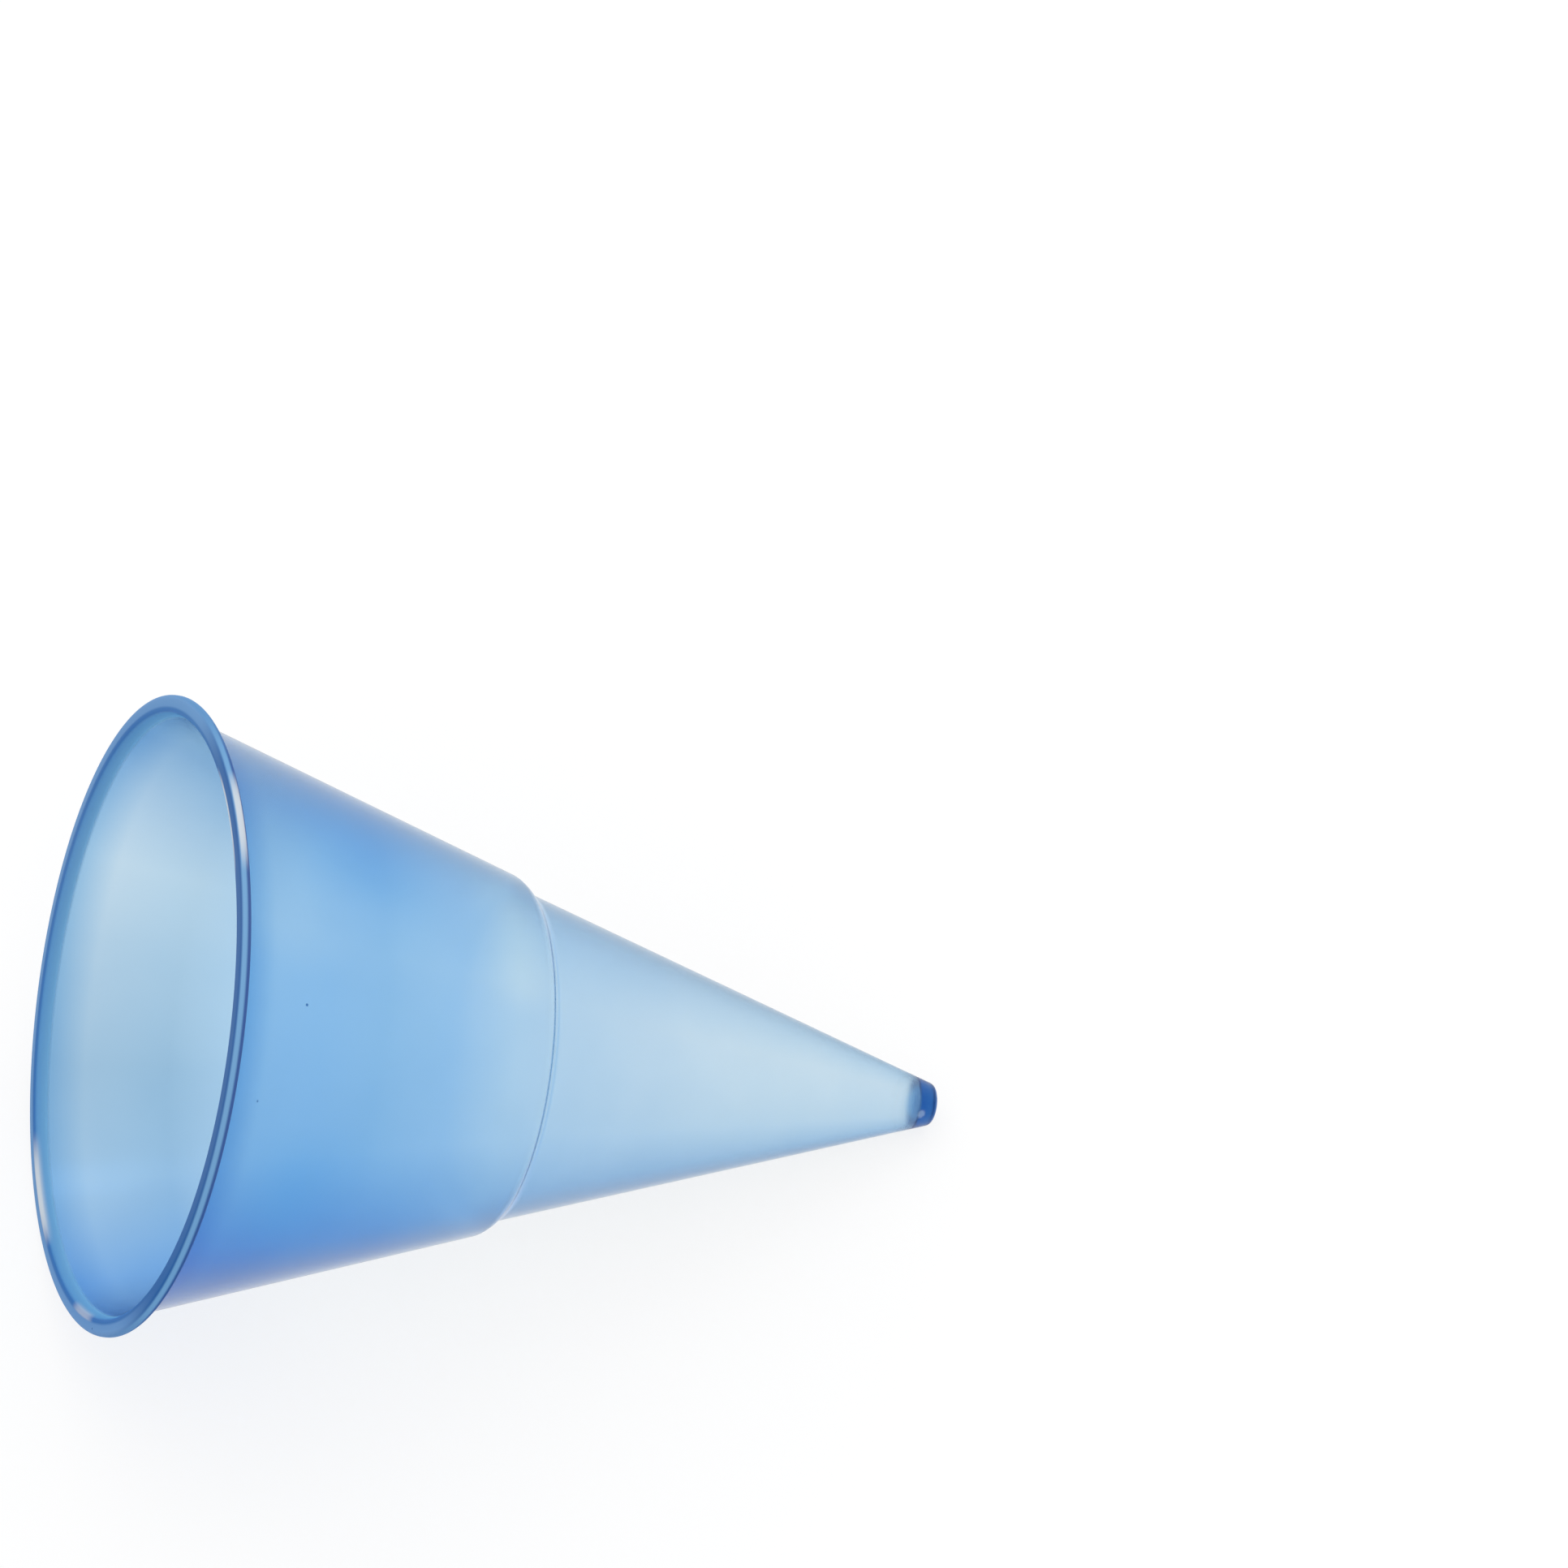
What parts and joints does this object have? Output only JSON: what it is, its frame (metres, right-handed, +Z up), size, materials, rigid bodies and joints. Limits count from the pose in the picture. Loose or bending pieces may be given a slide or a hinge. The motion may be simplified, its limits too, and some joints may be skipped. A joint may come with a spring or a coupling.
{
  "type": "plastic cone cup",
  "caption": "Thin-walled plastic drinking cup in the shape of a cone, with a flat lip, a rounded shoulder halfway down and a solid rounded tip.",
  "frame": {"origin": "centre of the lying cup's box in X and Y, on the surface that it lies on", "axes": "+Z up; the cup lies on its side, with the mouth towards -X and the tip towards +X; its axis is in the XZ plane and falls 19.7 degrees towards the tip"},
  "size_m": [0.1036, 0.073, 0.0689],
  "materials": {
    "blue_plastic": "smooth, translucent blue polypropylene"
  },
  "bodies": {
    "root": {"cup": "blue_plastic"}
  },
  "joints": []
}
